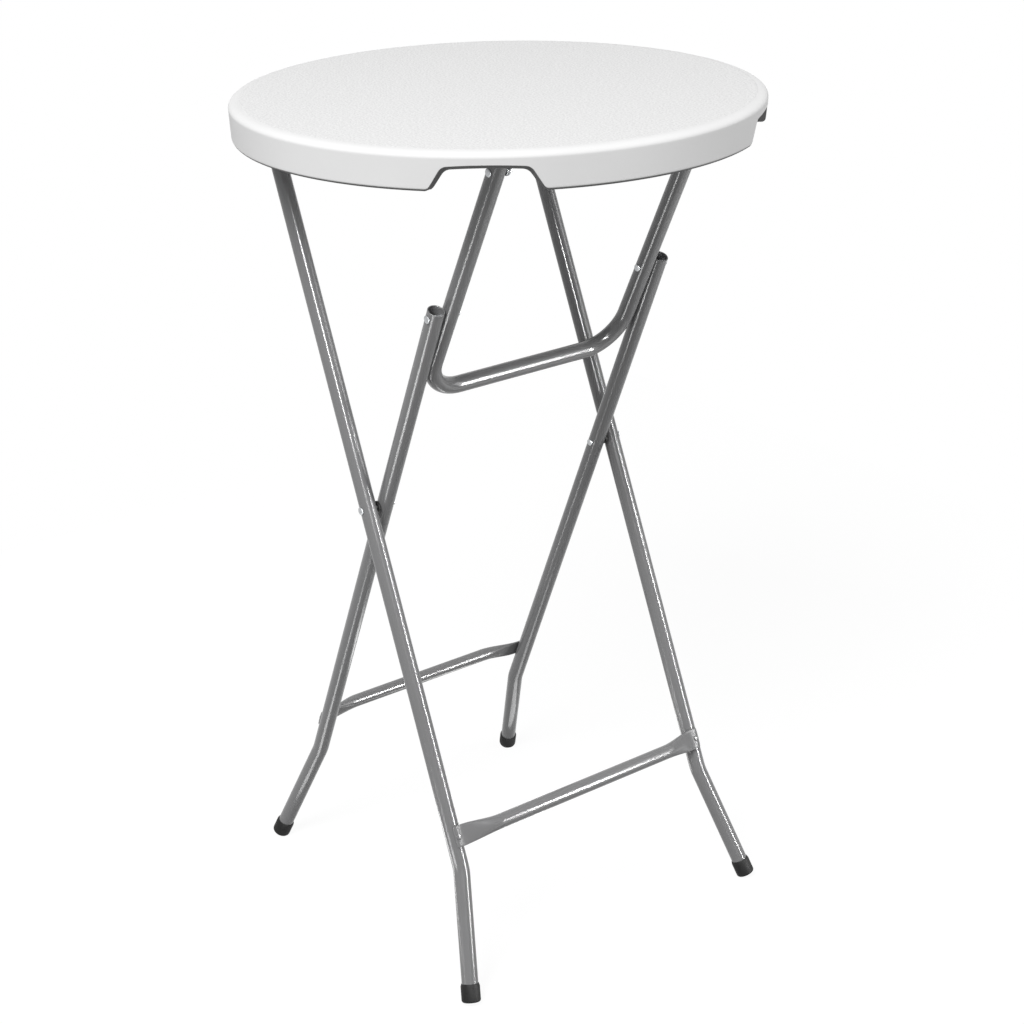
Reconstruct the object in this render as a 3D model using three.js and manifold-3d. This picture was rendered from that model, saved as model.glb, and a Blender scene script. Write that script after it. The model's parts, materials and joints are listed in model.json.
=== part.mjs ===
// A round folding reception table: a moulded top with a deep skirt on a tubular steel linkage.
// Millimetres, +Z up. The origin is on the floor under the middle of the top.
// The outer legs hinge to the top at -X and stand at +X, and the inner legs cross them.
// A U-shaped brace hinges to the top at +X and holds the upper ends of the inner legs.
import * as THREE from "three";
import { mergeVertices } from "three/addons/utils/BufferGeometryUtils.js";
import Module from "manifold-3d";

const wasm = await Module();
wasm.setup();

// Driving dimensions of the whole table
const tableHeight = 1100;
const topRadius = 325;

// Moulded top
const panelThickness = 15;
const skirtDepth = 45;
const skirtThickness = 12;
const skirtDraft = 1.5;
const rimWidth = 13;
const rimDrop = 7.5;
const lipRounding = 4.5;
const recessFillet = 5;
const notchOffset = 7.8;
const notchOuter = { topWidth: 84, bottomWidth: 134, height: 27 };
const notchInner = { topWidth: 74, bottomWidth: 116, height: 20 };
const notchRounding = 12;
const notchMouthDrop = 1;
const tackOffPitch = 78;
const tackOffMouthRadius = 9;
const tackOffFloorRadius = 5;
const tackOffDepth = 9;
const tackOffMargin = 6;
const tackOffRings = 3;
const tackOffsInFirstRing = 6;

// Steel tube of the legs and the brace
const tubeDiameter = 21.5;
const tubeWall = 1.5;

// Linkage: room round the outer hinges, the brace hinges' inset from the top's edge, the crossing
// of the legs and their leans
const hingeDrop = 40.5;
const legEndRoom = 1.5;
const bracketRoom = 3;
const braceHingeInset = 131.3;
const crossingHeight = 594.6;
const outerLean = THREE.MathUtils.degToRad(22.42);
const innerLean = THREE.MathUtils.degToRad(24.15);

// Widths: the inner legs' half width, and the gaps and splays that place the other two frames
const innerHalfWidth = 173;
const crossingGap = 4;
const kneeGap = 0.9;
const outerSplay = THREE.MathUtils.degToRad(0.4);
const braceSplay = THREE.MathUtils.degToRad(0.2);

// Feet
const outerBendHeight = 156;
const innerBendHeight = 159;
const outerFootFlare = THREE.MathUtils.degToRad(12.3);
const innerFootFlare = THREE.MathUtils.degToRad(11.27);
const footBendRadius = 70;
const capWall = 1.4;
const capSleeve = 18;
const capBase = 6;
const capRounding = 3.4;
const capFloorFlat = 2.4;

// Brace
const braceBelowKnee = 129;
const braceBendRadius = 52;
const hingeEndMargin = 13;
const kneeEndMargin = 10.5;

// Crossbars: tubes with pressed ends that wrap the legs
const outerBarRadius = 9.5;
const innerBarRadius = 8.7;
const outerBarHeight = 195.8;
const innerBarHeight = 206.4;
const pressedThickness = 2.8;
const pressedWrap = THREE.MathUtils.degToRad(22);
const pressedFlat = 4;
const pressedTaper = 58;
const pressedTipShare = 0.8;
const pressedSharpness = 1.6;

// Hinge brackets, bent from sheet steel
const bracketSheet = 2.5;
const bracketWidth = 50;
const bracketFlange = 30;
const bracketEarRadius = 7.5;
const bracketBendRadius = 4;
const bracketCornerRadius = 4;
const bracketScrewSpacing = 32;
const hingeGap = 1.8;

// Fasteners
const pinRadius = 3;
const pinHeadRadius = 5;
const pinHeadHeight = 2.2;
const lowHeadHeight = 1.3;
const pinTailRadius = 4.4;
const pinTailHeight = 2;
const nutWidth = 9;
const nutHeight = 4.5;
const threadTail = 1.5;
const washerRadius = 7;
const screwRadius = 2;
const screwHeadRadius = 4.4;
const screwHeadHeight = 2.3;
const screwLength = 9;
const screwTipRoom = 1;
const rivetRadius = 2.4;
const rivetHeadRadius = 3.8;
const rivetHeadHeight = 1.2;
const rivetTailRadius = 3.4;
const rivetTailLength = 5;

// Fits
const seatGap = 0.3;
const boreClearance = 0.3;
const cutOverrun = 5;
const weldTolerance = 0.0001;

// Facets round a piece, and steps along a rounded edge or a bend
const topFacets = 64;
const tubeFacets = 16;
const smallFacets = 10;
const pocketFacets = 8;
const bendSteps = 6;
const footBendSteps = 3;
const edgeSteps = 2;
const rimSteps = 4;
const sheetBendSteps = 3;
const domeSteps = 3;
const taperSteps = 5;
const nutSides = 6;

// Worked out from the values above
const tubeRadius = tubeDiameter / 2;
const hingeHeight = tableHeight - hingeDrop;
const undersideHeight = tableHeight - panelThickness;
const skirtBottom = tableHeight - skirtDepth;
const recessRadius = topRadius - skirtThickness;
const holeRadius = pinRadius + boreClearance;
const hingeToCrossing = (hingeHeight - crossingHeight) / Math.cos(outerLean);

// Half widths to the tubes' middles. The outer legs draw in towards their hinges.
const outerWidthAtCrossing = innerHalfWidth + tubeDiameter + crossingGap;
const braceWidthAtKnee = innerHalfWidth - tubeDiameter - kneeGap;
const outerWidthAt = (down) => outerWidthAtCrossing + (down - hingeToCrossing) * Math.tan(outerSplay);

// The outer hinges stand as far out as the recess has room for the legs' ends and the brackets
const reachWithin = (radius, y) => Math.sqrt(radius ** 2 - y ** 2);
const legOutside = outerWidthAt(0) + tubeRadius;
const bracketOutside = outerWidthAt(0) - tubeRadius - hingeGap;
const legEndBack = hingeEndMargin * Math.sin(outerLean) + tubeRadius * Math.cos(outerLean);
const outerHingeX = -Math.min(
  reachWithin(recessRadius - legEndRoom, legOutside) - legEndBack,
  reachWithin(recessRadius - recessFillet - bracketRoom, bracketOutside) - bracketWidth / 2,
);
const braceHingeX = topRadius - braceHingeInset;
const outerHinge = new THREE.Vector2(outerHingeX, hingeHeight);
const braceHinge = new THREE.Vector2(braceHingeX, hingeHeight);
const crossing = new THREE.Vector2(
  outerHingeX + hingeToCrossing * Math.sin(outerLean),
  crossingHeight,
);

// The linkage folds flat when the link lengths satisfy
// crossing to knee - knee to brace hinge = outer hinge to crossing - hinge to hinge.
const flatDifference = hingeToCrossing - (braceHingeX - outerHingeX);
const innerUp = new THREE.Vector2(Math.sin(innerLean), Math.cos(innerLean));
const toBraceHinge = braceHinge.clone().sub(crossing);
const crossingToKnee =
  (toBraceHinge.lengthSq() - flatDifference ** 2) /
  (2 * (toBraceHinge.dot(innerUp) - flatDifference));
const kneeToHinge = crossingToKnee - flatDifference;
const knee = crossing.clone().addScaledVector(innerUp, crossingToKnee);
const braceLean = Math.atan2(braceHinge.x - knee.x, braceHinge.y - knee.y);

// The brace widens towards its bend
const braceReach = kneeToHinge + braceBelowKnee;
const braceWidthAt = (down) => braceWidthAtKnee + (down - kneeToHinge) * Math.tan(braceSplay);

// The notches stand where the folded legs pass the skirt
const notchAngle = Math.asin((outerWidthAtCrossing + notchOffset) / topRadius);

// Finishes
const finish = (color, roughness, metalness) =>
  new THREE.MeshStandardMaterial({ color, roughness, metalness });
const topPlastic = () => finish(0xf0f0f0, 0.55, 0);
const greyPaint = () => finish(0x8a8a8a, 0.32, 0.35);
const blackPlastic = () => finish(0x242424, 0.6, 0);
const zincSteel = () => finish(0xb9bbbd, 0.35, 0.9);

// Closed bodies and the cuts between them
function solidOf(geometry) {
  const bare = geometry.index ? geometry.toNonIndexed() : geometry.clone();
  bare.deleteAttribute("normal");
  bare.deleteAttribute("uv");
  const merged = mergeVertices(bare, weldTolerance);
  const triVerts = new Uint32Array(merged.index.array);
  const vertProperties = merged.attributes.position.array;
  return new wasm.Manifold(new wasm.Mesh({ numProp: 3, vertProperties, triVerts }));
}

function geometryOf(solid) {
  const mesh = solid.getMesh();
  const positions = new Float32Array(mesh.numVert * 3);
  for (let i = 0; i < mesh.numVert; i++) {
    positions.set(mesh.vertProperties.subarray(i * mesh.numProp, i * mesh.numProp + 3), i * 3);
  }
  const geometry = new THREE.BufferGeometry();
  geometry.setAttribute("position", new THREE.BufferAttribute(positions, 3));
  geometry.setIndex(new THREE.BufferAttribute(mesh.triVerts, 1));
  geometry.computeVertexNormals();
  return geometry;
}

const cut = (geometry, ...tools) =>
  geometryOf(tools.reduce((solid, tool) => solid.subtract(solidOf(tool)), solidOf(geometry)));
const common = (a, b) => geometryOf(solidOf(a).intersect(solidOf(b)));

// A body skinned over rings that all have the same number of points. Rings run so that a right-hand
// turn of the points follows the direction of the path. A closed path has no end faces.
function loft(rings, closed = false) {
  const count = rings[0].length;
  const points = rings.flat();
  const faces = [];
  const spans = closed ? rings.length : rings.length - 1;
  for (let i = 0; i < spans; i++) {
    const here = i * count;
    const next = ((i + 1) % rings.length) * count;
    for (let j = 0; j < count; j++) {
      const k = (j + 1) % count;
      faces.push(here + j, here + k, next + k);
      faces.push(here + j, next + k, next + j);
    }
  }
  if (!closed) {
    const last = (rings.length - 1) * count;
    for (let j = 1; j < count - 1; j++) {
      faces.push(0, j + 1, j);
      faces.push(last, last + j, last + j + 1);
    }
  }
  const geometry = new THREE.BufferGeometry().setFromPoints(points);
  geometry.setIndex(faces);
  return geometry;
}

// Stations along a flat path in the YZ plane: straight runs joined by arcs at the corners.
function pathStations(corners, radius, steps) {
  const stations = [];
  const unit = (a, b) => b.clone().sub(a).normalize();
  stations.push({ at: corners[0], along: unit(corners[0], corners[1]) });
  for (let i = 1; i < corners.length - 1; i++) {
    const before = unit(corners[i - 1], corners[i]);
    const after = unit(corners[i], corners[i + 1]);
    const turn = Math.atan2(before.cross(after), before.dot(after));
    const setback = radius * Math.tan(Math.abs(turn) / 2);
    const start = corners[i].clone().addScaledVector(before, -setback);
    const inward = new THREE.Vector2(-before.y, before.x).multiplyScalar(Math.sign(turn));
    const centre = start.clone().addScaledVector(inward, radius);
    for (let j = 0; j <= steps; j++) {
      const angle = (turn * j) / steps;
      const at = start.clone().sub(centre).rotateAround(new THREE.Vector2(), angle).add(centre);
      const along = before.clone().rotateAround(new THREE.Vector2(), angle);
      stations.push({ at, along });
    }
  }
  const end = corners.length - 1;
  stations.push({ at: corners[end], along: unit(corners[end - 1], corners[end]) });
  return stations;
}

// A round ring square to a path in the YZ plane
function tubeRing(station, radius) {
  const ring = [];
  for (let j = 0; j < tubeFacets; j++) {
    const angle = (2 * Math.PI * (j + 0.5)) / tubeFacets;
    const sideways = Math.cos(angle) * radius;
    ring.push(
      new THREE.Vector3(
        Math.sin(angle) * radius,
        station.at.x - station.along.y * sideways,
        station.at.y + station.along.x * sideways,
      ),
    );
  }
  return ring;
}

// An open steel tube along a flat path: the outer skin out and the bore back
function hollowTube(stations) {
  const outer = stations.map((station) => tubeRing(station, tubeRadius));
  const inner = stations.map((station) => tubeRing(station, tubeRadius - tubeWall));
  return loft([...outer, ...inner.reverse()], true);
}

// A turned piece from (radius, height) pairs, its axis along Z
function turned(profile, facets = smallFacets) {
  const points = profile.map(([radius, height]) => new THREE.Vector2(radius, height));
  return new THREE.LatheGeometry(points, facets).rotateX(Math.PI / 2);
}

// Points along an arc from one angle to another, as (radius, height) pairs
function arcPoints(centreRadius, centreHeight, radius, from, to, steps) {
  const points = [];
  for (let i = 0; i <= steps; i++) {
    const angle = from + ((to - from) * i) / steps;
    points.push([centreRadius + radius * Math.cos(angle), centreHeight + radius * Math.sin(angle)]);
  }
  return points;
}

// A drill along Y from one place to another, in the plane of X and Z
function drillAlongY(x, z, fromY, toY, radius) {
  const drill = new THREE.CylinderGeometry(radius, radius, Math.abs(toY - fromY), smallFacets);
  drill.translate(x, (fromY + toY) / 2, z);
  return drill;
}

// A domed head whose flat face is at height 0 and points down
function domeProfile(radius, height) {
  const profile = [];
  for (let i = 0; i < domeSteps; i++) {
    const angle = (Math.PI * i) / (2 * domeSteps);
    profile.push([radius * Math.cos(angle), height * Math.sin(angle)]);
  }
  return [...profile, [0, height]];
}

// A pin with a domed head, a shank below it and, where asked, a spread tail at its other end
function headedPin({ radius, headRadius, headHeight, length, tailRadius = 0, tailHeight = 0 }) {
  const profile = [[0, -length - tailHeight]];
  if (tailRadius > 0) {
    profile.push([tailRadius * Math.cos(Math.PI / 4), -length - tailHeight]);
    profile.push([tailRadius, -length - tailHeight * Math.cos(Math.PI / 4)]);
    profile.push([tailRadius, -length]);
  }
  profile.push([radius, -length]);
  profile.push([radius, 0]);
  return turned([...profile, ...domeProfile(headRadius, headHeight)]);
}

function ring(innerRadius, outerRadius, thickness) {
  return turned([
    [innerRadius, 0],
    [outerRadius, 0],
    [outerRadius, thickness],
    [innerRadius, thickness],
    [innerRadius, 0],
  ]);
}

const root = new THREE.Group();

function addMesh(parent, name, geometry, material) {
  const mesh = new THREE.Mesh(geometry, material);
  mesh.name = name;
  parent.add(mesh);
  return mesh;
}

// Turned pieces stand on Z. These lay the head of one towards +Y or -Y.
const faceOut = (mesh, side) => mesh.rotation.set((-side * Math.PI) / 2, 0, 0);
const sides = [
  { word: "left", side: -1 },
  { word: "right", side: 1 },
];

// The top: a turned panel and skirt, with two leg notches and moulded tack-offs under it
function topGeometry() {
  const quarter = Math.PI / 2;
  const lipOuter = topRadius - skirtDraft - lipRounding;
  const lipInner = recessRadius + lipRounding;
  const lipHeight = skirtBottom + lipRounding;
  const profile = [
    [0, undersideHeight],
    ...arcPoints(
      recessRadius - recessFillet,
      undersideHeight - recessFillet,
      recessFillet,
      quarter,
      0,
      edgeSteps,
    ),
    ...arcPoints(lipInner, lipHeight, lipRounding, 2 * quarter, 3 * quarter, edgeSteps),
    ...arcPoints(lipOuter, lipHeight, lipRounding, 3 * quarter, 4 * quarter, edgeSteps),
    ...arcPoints(0, 0, 1, 0, quarter, rimSteps).map(([across, up]) => [
      topRadius - rimWidth + rimWidth * across,
      tableHeight - rimDrop + rimDrop * up,
    ]),
    [0, tableHeight],
  ];
  return turned(profile, topFacets);
}

// The outline of a leg notch: sloped sides, round where they meet the lip and the notch's roof
function notchOutline({ topWidth, bottomWidth, height }) {
  const mouth = bottomWidth / 2;
  const end = notchOuter.bottomWidth / 2 + notchRounding;
  const corners = [
    [-end, -notchMouthDrop],
    [-mouth, -notchMouthDrop],
    [-topWidth / 2, height],
    [topWidth / 2, height],
    [mouth, -notchMouthDrop],
    [end, -notchMouthDrop],
  ].map(([x, y]) => new THREE.Vector2(x, y));
  const outline = pathStations(corners, notchRounding, bendSteps / 2).map((station) => station.at);
  return [new THREE.Vector2(-end, -cutOverrun), ...outline, new THREE.Vector2(end, -cutOverrun)];
}

// A notch is moulded with a draft: it narrows from the skirt's outer face to its inner face
function notchCutter(side) {
  const outer = notchOutline(notchOuter);
  const inner = notchOutline(notchInner);
  const ringAt = (depth) =>
    outer.map((point, i) => {
      const at = point.clone().lerp(inner[i], depth / skirtThickness);
      return new THREE.Vector3(topRadius - depth, at.x, skirtBottom + at.y);
    });
  const reach = skirtThickness + recessFillet + 2 * cutOverrun;
  const cutter = loft([ringAt(-cutOverrun), ringAt(reach)]);
  cutter.rotateZ(side * notchAngle);
  return cutter;
}

// Where each hinge bracket stands: its pivot, the inner face of its tube and its flange
const bracketPlaces = sides.flatMap(({ word, side }) => [
  { name: "leg_hinge", word, side, x: outerHingeX, tubeY: outerWidthAt(0), halved: true },
  { name: "brace_hinge", word, side, x: braceHingeX, tubeY: braceWidthAt(0), halved: false },
]);
for (const place of bracketPlaces) {
  place.earOuter = place.tubeY - tubeRadius - hingeGap;
  place.earInner = place.earOuter - bracketSheet;
  place.screwY = place.earOuter - bracketFlange / 2 - bracketSheet;
}

const screwHoleRadius = screwRadius + boreClearance;
const screwHoleDepth = screwLength - bracketSheet - seatGap + screwTipRoom;

// Conical pockets where the moulded skins are pressed together, in rings that miss the brackets
function tackOffCutters() {
  const slope = (tackOffMouthRadius - tackOffFloorRadius) / tackOffDepth;
  const pocketProfile = [
    [0, -cutOverrun],
    [tackOffMouthRadius + slope * cutOverrun, -cutOverrun],
    [tackOffFloorRadius, tackOffDepth],
    [0, tackOffDepth],
  ];
  const cutters = [];
  const missesBrackets = (x, y) =>
    bracketPlaces.every(
      (place) =>
        Math.abs(x - place.x) > bracketWidth / 2 + tackOffMouthRadius + tackOffMargin ||
        Math.abs(y - place.side * place.screwY) >
          bracketFlange / 2 + bracketSheet + tackOffMouthRadius + tackOffMargin,
    );
  for (let index = 1; index <= tackOffRings; index++) {
    const count = tackOffsInFirstRing * index;
    for (let i = 0; i < count; i++) {
      const angle = (2 * Math.PI * (i + 0.5)) / count;
      const x = index * tackOffPitch * Math.cos(angle);
      const y = index * tackOffPitch * Math.sin(angle);
      if (!missesBrackets(x, y)) continue;
      const pocket = turned(pocketProfile, pocketFacets);
      pocket.translate(x, y, undersideHeight);
      cutters.push(pocket);
    }
  }
  return cutters;
}

function screwPlaces(place) {
  return [-1, 1].map((end) => ({
    x: place.x + (end * bracketScrewSpacing) / 2,
    y: place.side * place.screwY,
  }));
}

const screwHoles = bracketPlaces.flatMap(screwPlaces).map(({ x, y }) => {
  const hole = new THREE.CylinderGeometry(
    screwHoleRadius,
    screwHoleRadius,
    screwHoleDepth + cutOverrun,
    smallFacets,
  );
  hole.rotateX(Math.PI / 2);
  hole.translate(x, y, undersideHeight + (screwHoleDepth - cutOverrun) / 2);
  return hole;
});

addMesh(
  root,
  "table_top",
  cut(topGeometry(), notchCutter(-1), notchCutter(1), ...tackOffCutters(), ...screwHoles),
  topPlastic(),
);

// A hinge bracket: an angle of sheet steel whose ear narrows to a round end at the pivot
function bracketGeometry(place) {
  const flangeTop = undersideHeight - seatGap;
  const earBottom = hingeHeight - bracketEarRadius;
  const quarter = Math.PI / 2;
  const bendY = place.earInner - (bracketBendRadius - bracketSheet);
  const bendZ = flangeTop - bracketBendRadius;
  const flangeEnd = place.earOuter - bracketFlange - bracketSheet;
  const section = [
    [flangeEnd, flangeTop],
    [flangeEnd, flangeTop - bracketSheet],
    ...arcPoints(bendY, bendZ, bracketBendRadius - bracketSheet, quarter, 0, sheetBendSteps),
    [place.earInner, earBottom],
    [place.earOuter, earBottom],
    ...arcPoints(bendY, bendZ, bracketBendRadius, 0, quarter, sheetBendSteps),
  ].map(([y, z]) => new THREE.Vector2(y, z));
  const angle = new THREE.ExtrudeGeometry(new THREE.Shape(section), {
    depth: bracketWidth,
    bevelEnabled: false,
  });
  angle.rotateX(quarter);
  angle.rotateZ(quarter);
  angle.translate(place.x - bracketWidth / 2, 0, 0);

  // Seen along Y: full width at the flange, narrowing to the round end
  const half = bracketWidth / 2;
  const shoulder = flangeTop - bracketBendRadius - bracketCornerRadius;
  const silhouette = new THREE.Shape();
  silhouette.moveTo(-half - cutOverrun, flangeTop + cutOverrun);
  silhouette.lineTo(-half - cutOverrun, shoulder);
  silhouette.lineTo(-half, shoulder);
  silhouette.lineTo(-bracketEarRadius, hingeHeight);
  silhouette.absarc(0, hingeHeight, bracketEarRadius, Math.PI, 2 * Math.PI, false);
  silhouette.lineTo(half, shoulder);
  silhouette.lineTo(half + cutOverrun, shoulder);
  silhouette.lineTo(half + cutOverrun, flangeTop + cutOverrun);
  const keep = new THREE.ExtrudeGeometry(silhouette, {
    depth: bracketFlange + 2 * cutOverrun + 2 * bracketSheet,
    bevelEnabled: false,
    curveSegments: smallFacets,
  });
  keep.rotateX(quarter);
  keep.translate(place.x, place.earOuter + cutOverrun, 0);

  const screwHole = (x) => {
    const hole = new THREE.CylinderGeometry(
      screwHoleRadius,
      screwHoleRadius,
      bracketSheet + 2 * cutOverrun,
      smallFacets,
    );
    hole.rotateX(quarter);
    hole.translate(x, place.screwY, flangeTop - bracketSheet / 2);
    return hole;
  };
  return cut(
    common(angle, keep),
    drillAlongY(place.x, hingeHeight, flangeEnd, place.earOuter + cutOverrun, holeRadius),
    ...screwPlaces(place).map(({ x }) => screwHole(x)),
  );
}

// Geometry made on the right side, turned over to the left side for the other hand
function onSide(geometry, side) {
  if (side > 0) return geometry;
  const flipped = geometry.toNonIndexed();
  flipped.scale(1, -1, 1);
  const position = flipped.attributes.position;
  const a = new THREE.Vector3();
  const b = new THREE.Vector3();
  for (let i = 0; i < position.count; i += 3) {
    a.fromBufferAttribute(position, i + 1);
    b.fromBufferAttribute(position, i + 2);
    position.setXYZ(i + 1, b.x, b.y, b.z);
    position.setXYZ(i + 2, a.x, a.y, a.z);
  }
  flipped.computeVertexNormals();
  return flipped;
}

function hexNut() {
  const outline = new THREE.Shape();
  const corner = nutWidth / 2 / Math.cos(Math.PI / nutSides);
  for (let i = 0; i < nutSides; i++) {
    const angle = (2 * Math.PI * i) / nutSides;
    const x = corner * Math.cos(angle);
    const y = corner * Math.sin(angle);
    if (i === 0) outline.moveTo(x, y);
    else outline.lineTo(x, y);
  }
  outline.closePath();
  const bore = new THREE.Path();
  bore.absarc(0, 0, holeRadius, 0, 2 * Math.PI, true);
  outline.holes.push(bore);
  return new THREE.ExtrudeGeometry(outline, {
    depth: nutHeight,
    bevelEnabled: false,
    curveSegments: smallFacets / 2,
  });
}

for (const place of bracketPlaces) {
  const { name, word, side, x, tubeY } = place;
  addMesh(root, `${name}_bracket_${word}`, onSide(bracketGeometry(place), side), zincSteel());

  screwPlaces(place).forEach((at, index) => {
    const screw = addMesh(
      root,
      `${name}_screw_${word}_${index + 1}`,
      headedPin({
        radius: screwRadius,
        headRadius: screwHeadRadius,
        headHeight: screwHeadHeight,
        length: screwLength,
      }),
      zincSteel(),
    );
    screw.rotation.set(Math.PI, 0, 0);
    screw.position.set(at.x, at.y, undersideHeight - bracketSheet - 2 * seatGap);
  });

  // A halved bolt has its head half in the leg, up to the tube's inner face, and a stud in the bracket
  const headSeat = tubeY + tubeRadius + seatGap;
  const nutSeat = place.earInner - seatGap;
  const boltEnd = nutSeat - nutHeight - threadTail;
  const washerTop = place.earOuter + hingeGap - seatGap;
  const bolt = addMesh(
    root,
    `${name}_bolt_${word}`,
    headedPin({
      radius: pinRadius,
      headRadius: pinHeadRadius,
      headHeight: lowHeadHeight,
      length: headSeat - (place.halved ? tubeY - tubeRadius : boltEnd),
    }),
    zincSteel(),
  );
  faceOut(bolt, side);
  bolt.position.set(x, side * headSeat, hingeHeight);
  if (place.halved) {
    const stud = new THREE.CylinderGeometry(pinRadius, pinRadius, washerTop - boltEnd, smallFacets);
    stud.translate(x, (side * (washerTop + boltEnd)) / 2, hingeHeight);
    addMesh(root, `${name}_stud_${word}`, stud, zincSteel());
  }

  const nut = addMesh(root, `${name}_nut_${word}`, hexNut(), zincSteel());
  faceOut(nut, -side);
  nut.position.set(x, side * nutSeat, hingeHeight);

  const washer = addMesh(
    root,
    `${name}_washer_${word}`,
    ring(holeRadius, washerRadius, hingeGap - 2 * seatGap),
    zincSteel(),
  );
  faceOut(washer, side);
  washer.position.set(x, side * (place.earOuter + seatGap), hingeHeight);
}

// Each frame hangs from its pivot in a group whose -Z axis runs down its tubes
function frameGroup(pivot, turn) {
  const group = new THREE.Group();
  group.position.set(pivot.x, 0, pivot.y);
  group.rotation.set(0, turn, 0);
  root.add(group);
  group.updateMatrixWorld(true);
  return group;
}

// A foot cap: a sleeve with a closed, rounded base, cut level where it meets the floor
function capGeometry(group, bottom, tilt) {
  const inner = tubeRadius + boreClearance;
  const outer = inner + capWall;
  const quarter = Math.PI / 2;
  const cap = turned(
    [
      [0, 0],
      ...arcPoints(outer - capRounding, capRounding, capRounding, -quarter, 0, edgeSteps),
      [outer, capBase + capSleeve - capRounding],
      [outer - capRounding / 2, capBase + capSleeve],
      [inner, capBase + capSleeve],
      [inner, capBase],
      [0, capBase],
    ],
    tubeFacets,
  );
  cap.rotateX(tilt);
  cap.translate(0, bottom.x, bottom.y);
  const blockDepth = 4 * capBase;
  const floorBlock = new THREE.BoxGeometry(2 * topRadius, 2 * topRadius, blockDepth);
  floorBlock.translate(0, 0, -blockDepth / 2);
  floorBlock.applyMatrix4(group.matrixWorld.clone().invert());
  return cut(cap, floorBlock);
}

// A leg's path in its frame's plane: down from its upper end, out at the bend, down to the cap.
function legPlan({ pivotHeight, lean, bendHeight, flare, widthAt, endMargin, pivotDown }) {
  const capRadius = tubeRadius + boreClearance + capWall;
  const down = (height) => (pivotHeight - height) / Math.cos(lean);
  const bendDown = down(bendHeight);
  const tiltCosine = Math.cos(lean) * Math.cos(flare);
  const capCentreHeight = capRadius * Math.sqrt(1 - tiltCosine ** 2) - capFloorFlat;
  const lower = (bendHeight - capCentreHeight) / tiltCosine;
  const along = new THREE.Vector2(Math.sin(flare), -Math.cos(flare));
  const topDown = pivotDown - endMargin;
  const upperEnd = new THREE.Vector2(widthAt(topDown), -topDown);
  const bend = new THREE.Vector2(widthAt(bendDown), -bendDown);
  const capBottom = bend.clone().addScaledVector(along, lower);
  const lowerEnd = capBottom.clone().addScaledVector(along, -capBase - seatGap);
  return { upperEnd, bend, lowerEnd, capBottom, down, flare };
}

const mirrorPlan = (point, side) => new THREE.Vector2(side * point.x, point.y);

// The half-height of a tube pressed flat keeps the tube's girth
const pressedHalfHeight = (radius) => {
  const half = pressedThickness / 2;
  return half + (Math.PI * (radius - half)) / 2;
};

// One ring of a crossbar: a circle where it is round, two flats with round ends where it is pressed
function barRing({ y, n, turn, halfThickness, halfHeight }, face) {
  const points = [];
  const straight = halfHeight - halfThickness;
  for (let j = 0; j < tubeFacets; j++) {
    const angle = (face * 2 * Math.PI * (j + 0.5)) / tubeFacets;
    const across = halfThickness * Math.cos(angle);
    const stretch = Math.max(-1, Math.min(1, pressedSharpness * Math.sin(angle)));
    const height = halfThickness * Math.sin(angle) + straight * stretch;
    points.push(
      new THREE.Vector3(face * (n + across * Math.cos(turn)), y + across * Math.sin(turn), height),
    );
  }
  return points;
}

// A crossbar on one face of its two legs. Its pressed ends curl round the legs' outer sides.
function crossbarGeometry(legY, radius, face) {
  const half = pressedThickness / 2;
  const wrapRadius = tubeRadius + seatGap + half;
  const roundOffset = tubeRadius + 2 * seatGap + radius;
  const flatHeight = pressedHalfHeight(radius);
  const stations = [];
  for (let i = sheetBendSteps; i > 0; i--) {
    const turn = (pressedWrap * i) / sheetBendSteps;
    const narrowing = i === sheetBendSteps ? pressedTipShare : 1;
    stations.push({
      y: legY + wrapRadius * Math.sin(turn),
      n: wrapRadius * Math.cos(turn),
      turn,
      halfThickness: half,
      halfHeight: flatHeight * narrowing,
    });
  }
  stations.push({ y: legY, n: wrapRadius, turn: 0, halfThickness: half, halfHeight: flatHeight });
  for (let i = 0; i <= taperSteps; i++) {
    const t = i / taperSteps;
    const ease = t * t * (3 - 2 * t);
    stations.push({
      y: legY - pressedFlat - pressedTaper * t,
      n: THREE.MathUtils.lerp(wrapRadius, roundOffset, ease),
      turn: 0,
      halfThickness: THREE.MathUtils.lerp(half, radius, ease),
      halfHeight: THREE.MathUtils.lerp(flatHeight, radius, ease),
    });
  }
  const mirrored = stations.map((s) => ({ ...s, y: -s.y, turn: -s.turn })).reverse();
  return loft([...stations, ...mirrored].map((station) => barRing(station, face)));
}

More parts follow.
